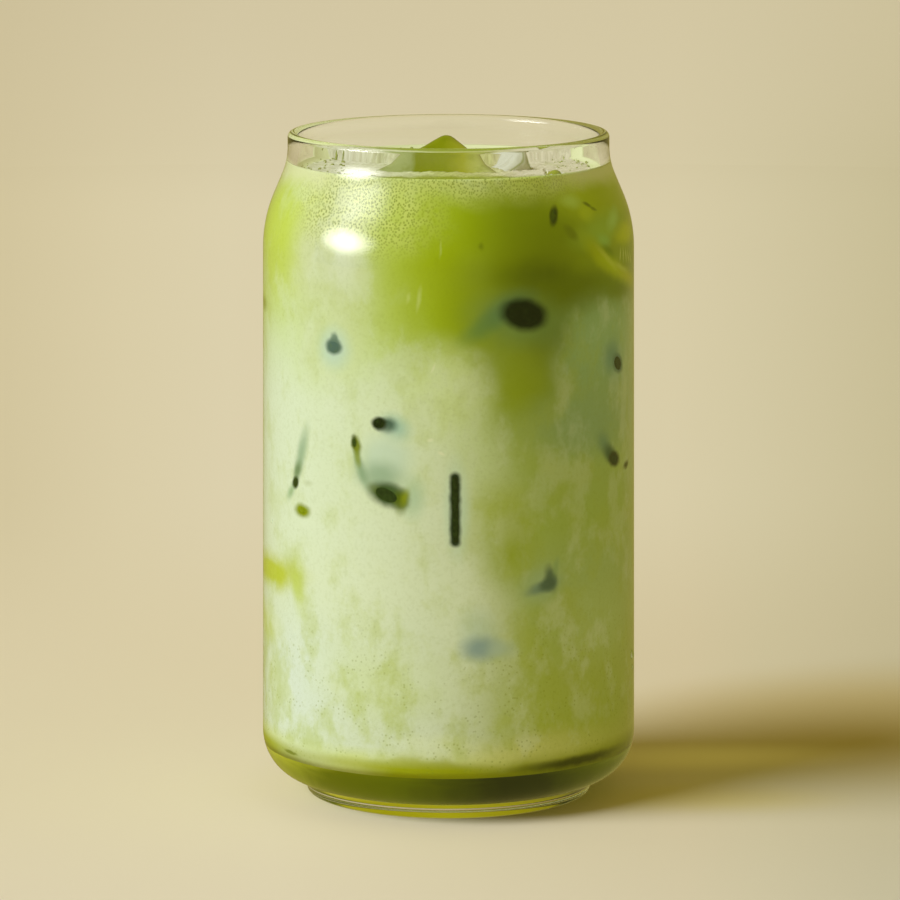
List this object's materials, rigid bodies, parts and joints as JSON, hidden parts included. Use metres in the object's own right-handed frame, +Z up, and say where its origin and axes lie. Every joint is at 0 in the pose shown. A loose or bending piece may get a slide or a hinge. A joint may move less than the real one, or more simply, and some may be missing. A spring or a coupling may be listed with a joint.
{
  "type": "iced matcha latte in a can-shaped glass",
  "caption": "Iced matcha latte in a can-shaped clear glass: milk and green tea clouding together round ice, with a foam ring and ice standing out of the drink.",
  "frame": {"origin": "middle of the foot, on the surface that the glass stands on", "axes": "+Z up along the glass's axis, -Y towards the viewer of the picture, +X to the viewer's right"},
  "size_m": [0.0766, 0.0766, 0.136],
  "materials": {
    "glass": "clear, fire-polished",
    "drink": "milky green liquid, deep green near the top",
    "ice": "wet, clear, melting"
  },
  "bodies": {
    "root": {"glass": "glass", "drink": "drink", "ice_front": "ice", "ice_middle": "ice", "ice_right": "ice"}
  },
  "joints": []
}
